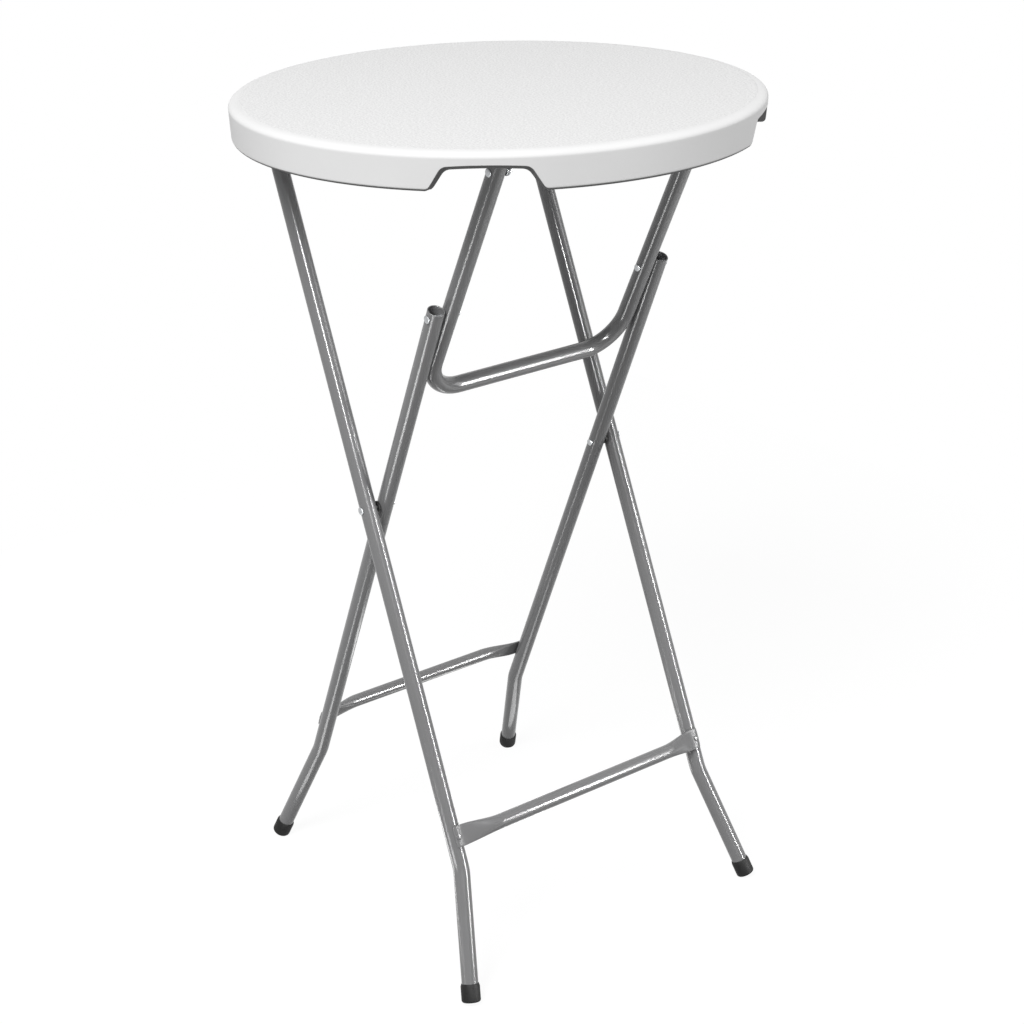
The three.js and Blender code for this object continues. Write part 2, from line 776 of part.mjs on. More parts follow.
// A pair of legs, their crossbar, its rivets and their foot caps
function buildLegFrame({ prefix, group, plan, pinHoles, barRadius, barHeight, face }) {
  const barDown = plan.down(barHeight);
  const bendDown = -plan.bend.y;
  const share = (barDown + plan.upperEnd.y) / (bendDown + plan.upperEnd.y);
  const legY = THREE.MathUtils.lerp(plan.upperEnd.x, plan.bend.x, share);
  const rivetHole = rivetRadius + boreClearance;
  const rivetSeat = tubeRadius + pressedThickness + 2 * seatGap;
  // The spread tail lies inside the bore, where the bore's wall curves in beside the hole
  const tailSeat = Math.sqrt((tubeRadius - tubeWall) ** 2 - rivetTailRadius ** 2) - 2 * seatGap;
  const rivetDrill = (side) => {
    const drill = new THREE.CylinderGeometry(rivetHole, rivetHole, tubeDiameter, smallFacets);
    drill.rotateZ(Math.PI / 2);
    drill.translate(face * (tubeRadius + pressedThickness), side * legY, -barDown);
    return drill;
  };

  for (const { word, side } of sides) {
    const corners = [plan.upperEnd, plan.bend, plan.lowerEnd].map((p) => mirrorPlan(p, side));
    const stations = pathStations(corners, footBendRadius, footBendSteps);
    const drills = pinHoles.map(({ down, y }) =>
      drillAlongY(0, -down, side * (y - 2 * tubeDiameter), side * (y + 2 * tubeDiameter), holeRadius),
    );
    addMesh(
      group,
      `${prefix}_leg_${word}`,
      cut(hollowTube(stations), ...drills, rivetDrill(side)),
      greyPaint(),
    );
    addMesh(
      group,
      `${prefix}_foot_cap_${word}`,
      capGeometry(group, mirrorPlan(plan.capBottom, side), side * plan.flare),
      blackPlastic(),
    );
    const rivet = addMesh(
      group,
      `${prefix}_crossbar_rivet_${word}`,
      headedPin({
        radius: rivetRadius,
        headRadius: rivetHeadRadius,
        headHeight: rivetHeadHeight,
        length: rivetSeat - tailSeat,
        tailRadius: rivetTailRadius,
        tailHeight: rivetTailLength,
      }),
      greyPaint(),
    );
    rivet.rotation.set(0, (face * Math.PI) / 2, 0);
    rivet.position.set(face * rivetSeat, side * legY, -barDown);
  }

  const bar = crossbarGeometry(legY, barRadius, face);
  bar.translate(0, 0, -barDown);
  const barDrills = sides.map(({ side }) => rivetDrill(side));
  addMesh(group, `${prefix}_crossbar`, cut(bar, ...barDrills), greyPaint());
}

// Outer leg frame: hinged to the top at -X, standing at +X, its crossbar on the +X face
const outerFrame = frameGroup(outerHinge, -outerLean);
buildLegFrame({
  prefix: "outer",
  group: outerFrame,
  plan: legPlan({
    pivotHeight: hingeHeight,
    lean: outerLean,
    bendHeight: outerBendHeight,
    flare: outerFootFlare,
    widthAt: outerWidthAt,
    endMargin: hingeEndMargin,
    pivotDown: 0,
  }),
  pinHoles: [
    { down: 0, y: outerWidthAt(0) },
    { down: hingeToCrossing, y: outerWidthAtCrossing },
  ],
  barRadius: outerBarRadius,
  barHeight: outerBarHeight,
  face: 1,
});

// Inner leg frame: carried at the crossing and the knee, standing at -X, its crossbar on the -X face
const innerFrame = frameGroup(crossing, innerLean);
buildLegFrame({
  prefix: "inner",
  group: innerFrame,
  plan: legPlan({
    pivotHeight: crossingHeight,
    lean: innerLean,
    bendHeight: innerBendHeight,
    flare: innerFootFlare,
    widthAt: () => innerHalfWidth,
    endMargin: kneeEndMargin,
    pivotDown: -crossingToKnee,
  }),
  pinHoles: [
    { down: 0, y: innerHalfWidth },
    { down: -crossingToKnee, y: innerHalfWidth },
  ],
  barRadius: innerBarRadius,
  barHeight: innerBarHeight,
  face: -1,
});

// The brace: one tube bent to a U, hinged to the top by its two ends
const brace = frameGroup(braceHinge, braceLean);
const braceCorners = [
  new THREE.Vector2(-braceWidthAt(-hingeEndMargin), hingeEndMargin),
  new THREE.Vector2(-braceWidthAt(braceReach), -braceReach),
  new THREE.Vector2(braceWidthAt(braceReach), -braceReach),
  new THREE.Vector2(braceWidthAt(-hingeEndMargin), hingeEndMargin),
];
const braceDrills = [0, kneeToHinge].map((down) =>
  drillAlongY(0, -down, -innerHalfWidth - tubeDiameter, innerHalfWidth + tubeDiameter, holeRadius),
);
addMesh(
  brace,
  "folding_brace",
  cut(hollowTube(pathStations(braceCorners, braceBendRadius, bendSteps)), ...braceDrills),
  greyPaint(),
);

// Rivets of the crossing, with a spacer between the legs, and rivets of the knee
const crossingOuterFace = outerWidthAtCrossing + tubeRadius + seatGap;
const innerLegInside = innerHalfWidth - tubeRadius - seatGap;
const innerLegOutside = innerHalfWidth + tubeRadius + seatGap;
const braceInside = braceWidthAtKnee - tubeRadius - seatGap;

function addRivet({ name, at, outerFace, innerFace, headHeight, side }) {
  const rivet = addMesh(
    root,
    name,
    headedPin({
      radius: pinRadius,
      headRadius: pinHeadRadius,
      headHeight,
      length: outerFace - innerFace,
      tailRadius: pinTailRadius,
      tailHeight: pinTailHeight,
    }),
    zincSteel(),
  );
  faceOut(rivet, side);
  rivet.position.set(at.x, side * outerFace, at.y);
}

for (const { word, side } of sides) {
  addRivet({
    name: `crossing_rivet_${word}`,
    at: crossing,
    outerFace: crossingOuterFace,
    innerFace: innerLegInside,
    headHeight: pinHeadHeight,
    side,
  });
  addRivet({
    name: `knee_rivet_${word}`,
    at: knee,
    outerFace: innerLegOutside,
    innerFace: braceInside,
    headHeight: lowHeadHeight,
    side,
  });

  const spacer = addMesh(
    root,
    `crossing_spacer_${word}`,
    ring(holeRadius, washerRadius, crossingGap - 2 * seatGap),
    blackPlastic(),
  );
  faceOut(spacer, side);
  spacer.position.set(crossing.x, side * innerLegOutside, crossing.y);
}

export default root;
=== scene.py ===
"""The looks of a round folding reception table, built round its CAD frame. Metres, +Z up."""

import json
import math

import bmesh
import bpy
from mathutils import Matrix, Vector


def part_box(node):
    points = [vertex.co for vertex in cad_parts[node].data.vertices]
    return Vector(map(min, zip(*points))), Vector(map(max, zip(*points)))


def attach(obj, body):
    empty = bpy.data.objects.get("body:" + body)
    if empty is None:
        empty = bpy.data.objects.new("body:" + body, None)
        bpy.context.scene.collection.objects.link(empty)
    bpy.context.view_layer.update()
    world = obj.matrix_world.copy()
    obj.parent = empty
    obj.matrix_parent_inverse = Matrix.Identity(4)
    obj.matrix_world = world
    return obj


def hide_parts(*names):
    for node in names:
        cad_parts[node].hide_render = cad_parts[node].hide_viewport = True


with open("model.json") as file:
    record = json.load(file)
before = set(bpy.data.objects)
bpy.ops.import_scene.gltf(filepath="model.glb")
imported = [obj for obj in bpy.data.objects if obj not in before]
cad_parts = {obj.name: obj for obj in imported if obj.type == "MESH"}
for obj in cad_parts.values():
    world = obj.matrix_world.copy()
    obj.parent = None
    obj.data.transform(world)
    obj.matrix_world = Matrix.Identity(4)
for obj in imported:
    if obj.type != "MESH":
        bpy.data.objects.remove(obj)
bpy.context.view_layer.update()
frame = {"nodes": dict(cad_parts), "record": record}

MM = 0.001
QUARTER = math.pi / 2
SIDES = (("left", -1), ("right", 1))

# What the record says of each node: the body that carries it and its material slot
RECORD = frame["record"]
BODY_OF = {node: body for body, nodes in RECORD["behaviour"]["bodies"].items() for node in nodes}
SLOT_OF = {subpart["node"]: subpart["material_slot"] for subpart in RECORD["subparts"]}
JOINT_AT = {joint["name"]: Vector(joint["pos_m"]) for joint in RECORD["behaviour"]["joints"]}


def middle(node):
    """The middle of a node's box at rest."""
    low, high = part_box(node)
    return (Vector(low) + Vector(high)) / 2


# The top's outer sizes come from the frame, and its other sizes are the part's own
TOP_LOW, TOP_HIGH = (Vector(corner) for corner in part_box("table_top"))
TABLE_HEIGHT = TOP_HIGH.z
TOP_RADIUS = TOP_HIGH.x
SKIRT_BOTTOM = TOP_LOW.z
PANEL = 15 * MM
SKIRT = 12 * MM
SKIRT_DRAFT = 1.5 * MM
RIM_WIDTH = 13 * MM
RIM_DROP = 7.5 * MM
LIP_ROUNDING = 4.5 * MM
RECESS_FILLET = 5 * MM
NOTCH_OUTER = {"top": 102 * MM, "mouth": 146 * MM, "height": 31 * MM}
NOTCH_INNER = {"top": 92 * MM, "mouth": 128 * MM, "height": 24 * MM}
NOTCH_OFFSET = 7.8 * MM
NOTCH_ROUNDING = 12 * MM
NOTCH_EDGE = 1.4 * MM
MOUTH_DROP = 1 * MM
LIP_STEPS = 6
RIM_STEPS = 14
NOTCH_STEPS = 24
POCKET_PITCH = 78 * MM
POCKET_MOUTH = 9 * MM
POCKET_FLOOR = 5 * MM
POCKET_DEPTH = 9 * MM
POCKET_MARGIN = 6 * MM
POCKET_RINGS = 3
POCKETS_IN_FIRST_RING = 6
POCKET_ROUNDING = 1.2 * MM

# Tubes: TUBE is their radius, and the places in Y are half the distance between a pair
TUBE = 10.75 * MM
TUBE_WALL = 1.5 * MM
INNER_Y = 173 * MM
CROSSING_GAP = 4 * MM
KNEE_GAP = 0.9 * MM
OUTER_SPLAY = math.radians(0.4)
BRACE_SPLAY = math.radians(0.2)

# Feet
OUTER_BEND_Z = 156 * MM
INNER_BEND_Z = 159 * MM
OUTER_FLARE = math.radians(12.3)
INNER_FLARE = math.radians(11.27)
FOOT_BEND = 70 * MM
FOOT_BEND_STEPS = 16
CAP_WALL = 1.4 * MM
CAP_SLEEVE = 18 * MM
CAP_BASE = 6 * MM
CAP_ROUNDING = 3.4 * MM
CAP_FLAT = 2.4 * MM

# Brace and tube ends
BRACE_BELOW_KNEE = 129 * MM
BRACE_BEND = 52 * MM
BRACE_BEND_STEPS = 28
HINGE_END = 13 * MM
KNEE_END = 10.5 * MM

# Crossbars and their pressed ends
OUTER_BAR = 9.5 * MM
INNER_BAR = 8.7 * MM
OUTER_BAR_Z = 195.8 * MM
INNER_BAR_Z = 206.4 * MM
PRESSED = 2.8 * MM
PRESSED_WRAP = math.radians(22)
PRESSED_FLAT = 4 * MM
PRESSED_TAPER = 58 * MM
PRESSED_TIP_SHARE = 0.8
PRESSED_TIP_THINNING = 0.6
PRESSED_SHARPNESS = 1.6
WRAP_STEPS = 10
TAPER_STEPS = 26

# Hinge brackets and fasteners: the widths of all but the nut and the bracket are radii
BRACKET_SHEET = 2.5 * MM
BRACKET_WIDTH = 50 * MM
BRACKET_FLANGE = 30 * MM
HINGE_GAP = 1.8 * MM
SCREW_SPACING = 32 * MM
PIN = 3 * MM
PIN_HEAD = 5 * MM
TALL_HEAD = 2.2 * MM
LOW_HEAD = 1.3 * MM
PIN_TAIL = 4.4 * MM
PIN_TAIL_HEIGHT = 2 * MM
WASHER = 7 * MM
NUT_WIDTH = 9 * MM
NUT_HEIGHT = 4.5 * MM
NUT_CHAMFER = 0.5 * MM
NUT_CHAMFER_SHARE = 0.96
THREAD_TAIL = 1.5 * MM
SCREW = 2 * MM
SCREW_HEAD = 4.4 * MM
SCREW_HEAD_HEIGHT = 2.3 * MM
SCREW_LENGTH = 9 * MM
RIVET = 2.4 * MM
RIVET_HEAD = 3.8 * MM
RIVET_HEAD_HEIGHT = 1.2 * MM
RIVET_TAIL = 3.4 * MM
RIVET_TAIL_LENGTH = 5 * MM

# The room between neighbours, and how far cut ends are broken
GAP = 0.3 * MM
EDGE = 0.3 * MM

# Facets round a piece: a nut's are a multiple of its six corners
TUBE_FACETS = 48
NUT_FACETS = 48
FASTENER_FACETS = 32
POCKET_FACETS = 24

# Places: the pivots come from the frame, and the leans follow from them
UNDERSIDE = TABLE_HEIGHT - PANEL
RECESS_RADIUS = TOP_RADIUS - SKIRT
BRACE_HINGE = JOINT_AT["brace_fold"]
KNEE = JOINT_AT["inner_leg_fold"]
CROSSING = JOINT_AT["outer_leg_fold"]
LEG_BOLT = middle("leg_hinge_washer_left")
OUTER_HINGE = Vector((LEG_BOLT.x, 0, LEG_BOLT.z))
OUTER_LEAN = math.atan2(CROSSING.x - OUTER_HINGE.x, OUTER_HINGE.z - CROSSING.z)
INNER_LEAN = math.atan2(KNEE.x - CROSSING.x, KNEE.z - CROSSING.z)
BRACE_LEAN = math.atan2(BRACE_HINGE.x - KNEE.x, BRACE_HINGE.z - KNEE.z)
TO_CROSSING = (CROSSING - OUTER_HINGE).length
TO_KNEE = (KNEE - CROSSING).length
KNEE_TO_HINGE = (BRACE_HINGE - KNEE).length
BRACE_REACH = KNEE_TO_HINGE + BRACE_BELOW_KNEE
OUTER_Y = INNER_Y + 2 * TUBE + CROSSING_GAP
BRACE_Y = INNER_Y - 2 * TUBE - KNEE_GAP
NOTCH_ANGLE = math.asin((OUTER_Y + NOTCH_OFFSET) / TOP_RADIUS)


# Half the distance between a pair of tubes, at a distance down from its frame's upper pivot
def outer_width(down):
    return OUTER_Y + (down - TO_CROSSING) * math.tan(OUTER_SPLAY)


def brace_width(down):
    return BRACE_Y + (down - KNEE_TO_HINGE) * math.tan(BRACE_SPLAY)


def inner_width(down):
    """The inner legs are parallel, so this is the same all the way down."""
    return INNER_Y


# Materials: each has its grain and its small unevenness, worked out in the piece's own space
class Look:
    """A material's node tree, with short ways to add its nodes."""

    def __init__(self, name):
        self.material = bpy.data.materials.new(name)
        self.material.use_nodes = True
        self.nodes = self.material.node_tree.nodes
        self.links = self.material.node_tree.links
        self.shader = self.nodes["Principled BSDF"]
        self.space = self.nodes.new("ShaderNodeTexCoord").outputs["Object"]

    def noise(self, scale, detail=2.0, roughness=0.5):
        node = self.nodes.new("ShaderNodeTexNoise")
        node.inputs["Scale"].default_value = scale
        node.inputs["Detail"].default_value = detail
        node.inputs["Roughness"].default_value = roughness
        self.links.new(self.space, node.inputs["Vector"])
        return node.outputs["Fac"]

    def spread(self, source, low, high, start=0.3, end=0.7):
        """A value from low to high while the source goes from start to end."""
        node = self.nodes.new("ShaderNodeMapRange")
        node.inputs["From Min"].default_value = start
        node.inputs["From Max"].default_value = end
        node.inputs["To Min"].default_value = low
        node.inputs["To Max"].default_value = high
        self.links.new(source, node.inputs["Value"])
        return node.outputs["Result"]

    def times(self, a, b):
        node = self.nodes.new("ShaderNodeMath")
        node.operation = "MULTIPLY"
        self.links.new(a, node.inputs[0])
        self.links.new(b, node.inputs[1])
        return node.outputs["Value"]

    def bump(self, height, distance, strength=1.0, below=None):
        node = self.nodes.new("ShaderNodeBump")
        node.inputs["Strength"].default_value = strength
        node.inputs["Distance"].default_value = distance
        self.links.new(height, node.inputs["Height"])
        if below is not None:
            self.links.new(below, node.inputs["Normal"])
        return node.outputs["Normal"]

    def shade(self, source, dark, light):
        """A colour between two, by the source."""
        node = self.nodes.new("ShaderNodeValToRGB")
        node.color_ramp.elements[0].position = 0.3
        node.color_ramp.elements[0].color = (*dark, 1)
        node.color_ramp.elements[1].position = 0.7
        node.color_ramp.elements[1].color = (*light, 1)
        self.links.new(source, node.inputs["Fac"])
        return node.outputs["Color"]

    def mixed(self, share, a, b):
        """Colour a where the share is 0, and colour b where it is 1."""
        node = self.nodes.new("ShaderNodeMix")
        node.data_type = "RGBA"
        self.links.new(share, node.inputs["Factor"])
        self.links.new(a, node.inputs["A"])
        self.links.new(b, node.inputs["B"])
        return node.outputs["Result"]

    def apply(self, colour, roughness, normal):
        self.links.new(colour, self.shader.inputs["Base Color"])
        self.links.new(roughness, self.shader.inputs["Roughness"])
        self.links.new(normal, self.shader.inputs["Normal"])


def white_plastic():
    """White moulded plastic: pebbled on the flat face, smooth on the rim, with painted shade on the
    lip's down-facing faces.
    """
    look = Look("white_plastic_look")
    flat = look.nodes.new("ShaderNodeVectorMath")
    flat.operation = "MULTIPLY"
    flat.inputs[1].default_value = (1, 1, 0)
    look.links.new(look.space, flat.inputs[0])
    length = look.nodes.new("ShaderNodeVectorMath")
    length.operation = "LENGTH"
    look.links.new(flat.outputs["Vector"], length.inputs[0])
    radius = length.outputs["Value"]
    split = look.nodes.new("ShaderNodeSeparateXYZ")
    look.links.new(look.space, split.inputs["Vector"])
    facing = look.nodes.new("ShaderNodeSeparateXYZ")
    look.links.new(look.space.node.outputs["Normal"], facing.inputs["Vector"])

    # The share of pebbled face, and the share of painted shade: the down-facing faces outside the
    # recess, under the lip and in the notches
    fade = 0.4 * MM
    grain_end = TOP_RADIUS - RIM_WIDTH
    inside = look.spread(radius, 1, 0, grain_end - fade, grain_end + fade)
    above = look.spread(split.outputs["Z"], 0, 1, TABLE_HEIGHT - 1 * MM, TABLE_HEIGHT - 0.5 * MM)
    grained = look.times(inside, above)
    down = look.spread(facing.outputs["Z"], 1, 0, -0.45, -0.2)
    outside = look.spread(radius, 0, 1, RECESS_RADIUS - 1 * MM, RECESS_RADIUS + 1 * MM)
    lip_painted_shade_share = look.times(down, outside)

    pebbles = look.noise(scale=380, detail=2, roughness=0.55)
    fine = look.noise(scale=1500, detail=2, roughness=0.6)
    cloud = look.noise(scale=9, detail=3)
    plain = look.shade(cloud, (0.85,) * 3, (0.875,) * 3)
    pebbled = look.shade(pebbles, (0.75,) * 3, (0.95,) * 3)
    # Painted shade: a dark grey that stands in for the shade on the down-facing faces of the lip and
    # the notches
    painted_shade_colour = look.shade(fine, (0.15,) * 3, (0.25,) * 3)
    colour = look.mixed(lip_painted_shade_share, look.mixed(grained, plain, pebbled), painted_shade_colour)
    smooth = look.bump(fine, distance=0.12 * MM, strength=0.25)
    normal = look.bump(look.times(pebbles, grained), distance=0.9 * MM, strength=0.8, below=smooth)
    look.apply(colour, look.spread(fine, 0.55, 0.68), normal)
    look.shader.inputs["Specular IOR Level"].default_value = 0.1
    return look.material


def grey_paint():
    """Glossy grey powder coat: a faint fleck, a little peel and slow waves in its gloss."""
    look = Look("grey_paint_look")
    wave = look.noise(scale=30)
    peel = look.noise(scale=260)
    fleck = look.noise(scale=2500, detail=1)
    colour = look.shade(fleck, (0.196, 0.196, 0.199), (0.238, 0.238, 0.241))
    slow = look.bump(wave, distance=1.2 * MM, strength=0.15)
    normal = look.bump(peel, distance=0.2 * MM, strength=0.1, below=slow)
    look.apply(colour, look.spread(wave, 0.17, 0.23), normal)
    look.shader.inputs["Specular IOR Level"].default_value = 0.4
    return look.material


def black_plastic():
    """Black moulded plastic with a fine grain and paler scuffs."""
    look = Look("black_plastic_look")
    grain = look.noise(scale=700, detail=3, roughness=0.6)
    scuffs = look.noise(scale=90, detail=4, roughness=0.7)
    colour = look.shade(scuffs, (0.006,) * 3, (0.02,) * 3)
    normal = look.bump(grain, distance=0.3 * MM, strength=0.5)
    look.apply(colour, look.spread(grain, 0.5, 0.7), normal)
    look.shader.inputs["Specular IOR Level"].default_value = 0.2
    return look.material


def zinc():
    """Zinc plate: stained a little, with a fine scratched grain."""
    look = Look("zinc_look")
    scratch = look.noise(scale=1400)
    stains = look.noise(scale=160, detail=4, roughness=0.6)
    colour = look.shade(stains, (0.36, 0.37, 0.38), (0.5, 0.51, 0.52))
    normal = look.bump(scratch, distance=0.2 * MM, strength=0.3)
    look.apply(colour, look.spread(scratch, 0.36, 0.52), normal)
    look.shader.inputs["Metallic"].default_value = 1.0
    return look.material


LOOKS = {
    "white_plastic": white_plastic(),
    "grey_paint": grey_paint(),
    "black_plastic": black_plastic(),
    "zinc_steel": zinc(),
}


# The pieces that the gloss lights show in. They would glare on the white plastic
SHINY = bpy.data.collections.new("shiny")


# Meshes
def new_object(name, points, faces, place=None):
    mesh = bpy.data.meshes.new(name)
    mesh.from_pydata([tuple(p) for p in points], [], faces)
    made = bpy.data.objects.new(name, mesh)
    bpy.context.scene.collection.objects.link(made)
    if place is not None:
        mesh.transform(place)
    return made


def clean_mesh(mesh):
    """Joins points that lie together and turns the faces outwards."""
    tidy = bmesh.new()
    tidy.from_mesh(mesh)
    bmesh.ops.remove_doubles(tidy, verts=tidy.verts, dist=1e-6)
    bmesh.ops.recalc_face_normals(tidy, faces=tidy.faces)
    tidy.to_mesh(mesh)
    tidy.free()


def finish_piece(made, node, angle=34):
    """Smooth shading, and the node's material slot, body and place in the table."""
    clean_mesh(made.data)
    made.data.shade_smooth()
    made.data.set_sharp_from_angle(angle=math.radians(angle))
    made.data.materials.clear()
    made.data.materials.append(LOOKS[SLOT_OF[node]])
    if SLOT_OF[node] != "white_plastic":
        SHINY.objects.link(made)
    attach(made, BODY_OF[node])
    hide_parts(node)


def add_piece(node, body, place=None, angle=34):
    """Puts a piece in place of a node, from a pair of points and faces."""
    finish_piece(new_object(node + "_look", *body, place), node, angle)


def arc(centre_r, centre_z, radius, start, end, steps):
    """Points along an arc, as (radius, height) pairs."""
    angles = [start + (end - start) * i / steps for i in range(steps + 1)]
    return [(centre_r + radius * math.cos(a), centre_z + radius * math.sin(a)) for a in angles]


def skin(rings, closed=False, capped=True):
    """Points and faces of a body skinned over rings that have the same number of points."""
    count = len(rings[0])
    points = [p for ring in rings for p in ring]
    faces = []
    for i in range(len(rings) if closed else len(rings) - 1):
        here, there = i * count, (i + 1) % len(rings) * count
        for j in range(count):
            k = (j + 1) % count
            faces.append((here + j, here + k, there + k, there + j))
    if capped and not closed:
        faces.append(tuple(range(count - 1, -1, -1)))
        faces.append(tuple(range((len(rings) - 1) * count, len(rings) * count)))
    return points, faces


def turned(profile, facets=TUBE_FACETS):
    """A turned body. Its (radius, height) pairs end on the axis or close on themselves."""
    rings = []
    angles = [2 * math.pi * j / facets for j in range(facets)]
    for radius, height in profile:
        ring = [Vector((radius * math.cos(a), radius * math.sin(a), height)) for a in angles]
        rings.append(ring)
    return skin(rings, closed=profile[0][0] > 0, capped=False)


def path_stations(corners, radius, steps):
    """Stations along a flat path of (across, up) corners: straight runs joined by arcs."""
    corners = [Vector(c) for c in corners]
    stations = [(corners[0], (corners[1] - corners[0]).normalized())]
    for before, corner, after in zip(corners, corners[1:], corners[2:]):
        stations += corner_stations(before, corner, after, radius, steps)
    stations.append((corners[-1], (corners[-1] - corners[-2]).normalized()))
    return stations


def corner_stations(before, corner, after, radius, steps):
    """Stations along the arc that rounds one corner of a flat path."""
    u = (corner - before).normalized()
    v = (after - corner).normalized()
    turn = math.atan2(u.x * v.y - u.y * v.x, u.dot(v))
    start = corner - u * radius * math.tan(abs(turn) / 2)
    centre = start + Vector((-u.y, u.x)) * math.copysign(radius, turn)
    spins = [Matrix.Rotation(turn * j / steps, 2) for j in range(steps + 1)]
    return [(centre + spin @ (start - centre), spin @ u) for spin in spins]


def tube_ring(station, radius):
    """The ring of a tube at one station of its path."""
    at, along = station
    ring = []
    for j in range(TUBE_FACETS):
        angle = 2 * math.pi * j / TUBE_FACETS
        sideways = math.cos(angle) * radius
        across = at.x - along.y * sideways
        up = at.y + along.x * sideways
        ring.append(Vector((math.sin(angle) * radius, across, up)))
    return ring


def hollow_tube(stations):
    """An open tube along a path, its cut ends slightly broken at both edges."""
    bore = TUBE - TUBE_WALL
    first, last = stations[0], stations[-1]
    inset_first = (first[0] + first[1] * EDGE, first[1])
    inset_last = (last[0] - last[1] * EDGE, last[1])
    body = [inset_first, *stations[1:-1], inset_last]

    def rings(radius, end_radius):
        middle_rings = [tube_ring(station, radius) for station in body]
        return [tube_ring(first, end_radius), *middle_rings, tube_ring(last, end_radius)]

    return skin([*rings(TUBE, TUBE - EDGE), *reversed(rings(bore, bore + EDGE))], closed=True)


def frame_place(pivot, turn):
    return Matrix.Translation(pivot) @ Matrix.Rotation(turn, 4, "Y")


OUTER_PLACE = frame_place(OUTER_HINGE, -OUTER_LEAN)
INNER_PLACE = frame_place(CROSSING, INNER_LEAN)
BRACE_PLACE = frame_place(BRACE_HINGE, BRACE_LEAN)


# The top
def notch_path(notch):
    """Half the outline of a notch at one face of the skirt, from its middle out to its side."""
    corners = [
        (0, notch["height"]),
        (notch["top"] / 2, notch["height"]),
        (notch["mouth"] / 2, -MOUTH_DROP),
        (NOTCH_OUTER["mouth"] / 2 + NOTCH_ROUNDING, -MOUTH_DROP),
    ]
    return [station[0] for station in path_stations(corners, NOTCH_ROUNDING, NOTCH_STEPS)]


NOTCH_PATHS = list(zip(notch_path(NOTCH_OUTER), notch_path(NOTCH_INNER)))


def notch_rise(along, across):
    """How far a notch lifts the skirt's lower edge, at a place along and across its axis."""
    share = (TOP_RADIUS - along) / SKIRT
    across = abs(across)
    path = [outer.lerp(inner, share) for outer, inner in NOTCH_PATHS]
    for a, b in zip(path, path[1:]):
        if across <= b.x:
            part = (across - a.x) / max(b.x - a.x, 1e-9)
            return max(0.0, a.y + (b.y - a.y) * part)
    return 0.0


def lip_height(radius, angle):
    """Height of the skirt's lower edge at a radius and an azimuth."""
    rise = 0.0
    widest = QUARTER / 3
    for _, side in SIDES:
        off = angle - side * NOTCH_ANGLE
        if abs(off) < widest:
            rise = max(rise, notch_rise(radius * math.cos(off), radius * math.sin(off)))
    return SKIRT_BOTTOM + rise


def top_columns():
    """Azimuths round the top, closer together at the notches."""
    fine = math.radians(0.12)
    coarse = math.radians(1)
    reach = math.radians(17)
    angles = []
    angle = -math.pi
    while angle < math.pi - 1e-9:
        angles.append(angle)
        near = any(abs(angle - side * NOTCH_ANGLE) < reach for _, side in SIDES)
        angle += fine if near else coarse
    return angles


def top_profile(angle):
    """The section of the top at one azimuth, from under the recess to the flat above the rim."""
    rim_z = TABLE_HEIGHT - RIM_DROP
    draft = SKIRT_DRAFT / (rim_z - SKIRT_BOTTOM - LIP_ROUNDING)
    low_in = lip_height(RECESS_RADIUS, angle)
    low_out = lip_height(TOP_RADIUS - SKIRT_DRAFT, angle)
    rise = max(low_in, low_out) - SKIRT_BOTTOM
    notched = min(1.0, rise / (LIP_ROUNDING + NOTCH_EDGE))
    rounding = LIP_ROUNDING + (NOTCH_EDGE - LIP_ROUNDING) * notched
    corners = [
        (RECESS_RADIUS - 2 * RECESS_FILLET, UNDERSIDE),
        (RECESS_RADIUS, UNDERSIDE),
        (RECESS_RADIUS, low_in),
        (TOP_RADIUS - draft * (rim_z - low_out), low_out),
        (TOP_RADIUS, rim_z),
    ]
    corners = [Vector(corner) for corner in corners]
    section = []
    for index, radius in ((1, RECESS_FILLET), (2, rounding), (3, rounding)):
        before, corner, after = corners[index - 1 : index + 2]
        stations = corner_stations(before, corner, after, radius, LIP_STEPS)
        section += [station[0] for station in stations]
    # Two more points keep the shading of the straight skirt flat
    skirt_start = section[-1]
    section += [skirt_start.lerp(corners[4], share) for share in (0.03, 0.97)]
    for i in range(RIM_STEPS + 1):
        turn = QUARTER * i / RIM_STEPS
        rim_radius = TOP_RADIUS - RIM_WIDTH * (1 - math.cos(turn))
        section.append(Vector((rim_radius, rim_z + RIM_DROP * math.sin(turn))))
    return section


def pocket_places():
    """Middles of the pockets under the top, in rings that miss the brackets."""
    places = []
    brackets = [
        (x, side * (width - TUBE - HINGE_GAP - BRACKET_SHEET - BRACKET_FLANGE / 2))
        for _, side in SIDES
        for x, width in ((OUTER_HINGE.x, outer_width(0)), (BRACE_HINGE.x, brace_width(0)))
    ]
    clear_x = BRACKET_WIDTH / 2 + POCKET_MOUTH + POCKET_MARGIN
    clear_y = BRACKET_FLANGE / 2 + BRACKET_SHEET + POCKET_MOUTH + POCKET_MARGIN
    for index in range(1, POCKET_RINGS + 1):
        count = POCKETS_IN_FIRST_RING * index
        for i in range(count):
            angle = 2 * math.pi * (i + 0.5) / count
            x = index * POCKET_PITCH * math.cos(angle)
            y = index * POCKET_PITCH * math.sin(angle)
            if all(abs(x - bx) > clear_x or abs(y - by) > clear_y for bx, by in brackets):
                places.append((x, y))
    return places


